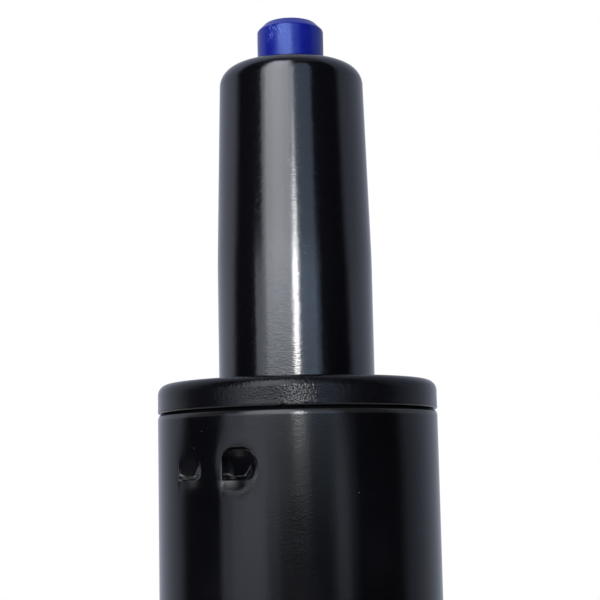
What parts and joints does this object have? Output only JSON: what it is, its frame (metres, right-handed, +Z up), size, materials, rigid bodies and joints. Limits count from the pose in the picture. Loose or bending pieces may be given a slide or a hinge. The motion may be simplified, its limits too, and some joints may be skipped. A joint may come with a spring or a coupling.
{
  "type": "chair gas lift cylinder",
  "caption": "Height-adjusting chair column: a lockable gas spring with a tapered top and a push button slides and swivels in a tapered steel tube.",
  "frame": {"origin": "centre of the column's lower rim, on the plane that it stands on", "axes": "+Z up the common axis towards the release button; -Y is the side that faces the picture, with a pair of crimps on its left"},
  "size_m": [0.05, 0.05, 0.3022],
  "materials": {
    "satin_paint": "satin black powder coat",
    "gloss_paint": "gloss black lacquer",
    "black_polymer": "moulded, fine grain",
    "blue_polymer": "moulded gloss",
    "zinc_steel": "zinc plated",
    "bearing_steel": "ground",
    "spring_steel": "dark oxide",
    "drawn_steel": "cold drawn",
    "hard_chrome": "ground hard chrome",
    "brass": "turned",
    "aluminium": "turned",
    "pale_polymer": "natural",
    "rubber": "moulded"
  },
  "bodies": {
    "column": {"outer_tube": "satin_paint", "base_cup": "zinc_steel", "guide_sleeve": "black_polymer", "bearing_lower_race": "bearing_steel"},
    "bearing": {"ball_cage": "pale_polymer", "bearing_balls": "bearing_steel"},
    "rod": {"piston_rod": "hard_chrome", "piston": "aluminium", "piston_seal": "rubber", "piston_guide_band": "pale_polymer", "rivet_washer": "zinc_steel", "rubber_buffer": "rubber", "support_washer": "zinc_steel", "bearing_upper_race": "bearing_steel", "clip_washer": "zinc_steel", "retaining_clip": "spring_steel"},
    "lift": {"pressure_tube": "gloss_paint", "inner_cylinder": "drawn_steel", "valve_body": "brass", "valve_body_seals": "rubber", "pin_seals": "rubber", "centring_ring": "pale_polymer", "seal_disc": "zinc_steel", "rod_seal": "rubber", "rod_guide": "pale_polymer"},
    "release": {"release_button": "blue_polymer", "valve_pin": "drawn_steel"}
  },
  "joints": [
    {"name": "swivel", "type": "hinge", "parent": "column", "child": "rod", "pos_m": [0, 0, 0.0159], "axis": [0, 0, 1], "continuous": true},
    {"name": "cage_orbit", "type": "hinge", "parent": "column", "child": "bearing", "pos_m": [0, 0, 0.0159], "axis": [0, 0, 1], "continuous": true},
    {"name": "height", "type": "slide", "parent": "rod", "child": "lift", "axis": [0, 0, 1], "range_m": [0, 0.1]},
    {"name": "release_press", "type": "slide", "parent": "lift", "child": "release", "axis": [0, 0, -1], "range_m": [0, 0.004], "stiffness_N_per_m": 300, "springref_m": -0.002}
  ],
  "couplings": [
    {"joint": "cage_orbit", "follows": "swivel", "ratio": 0.5}
  ]
}
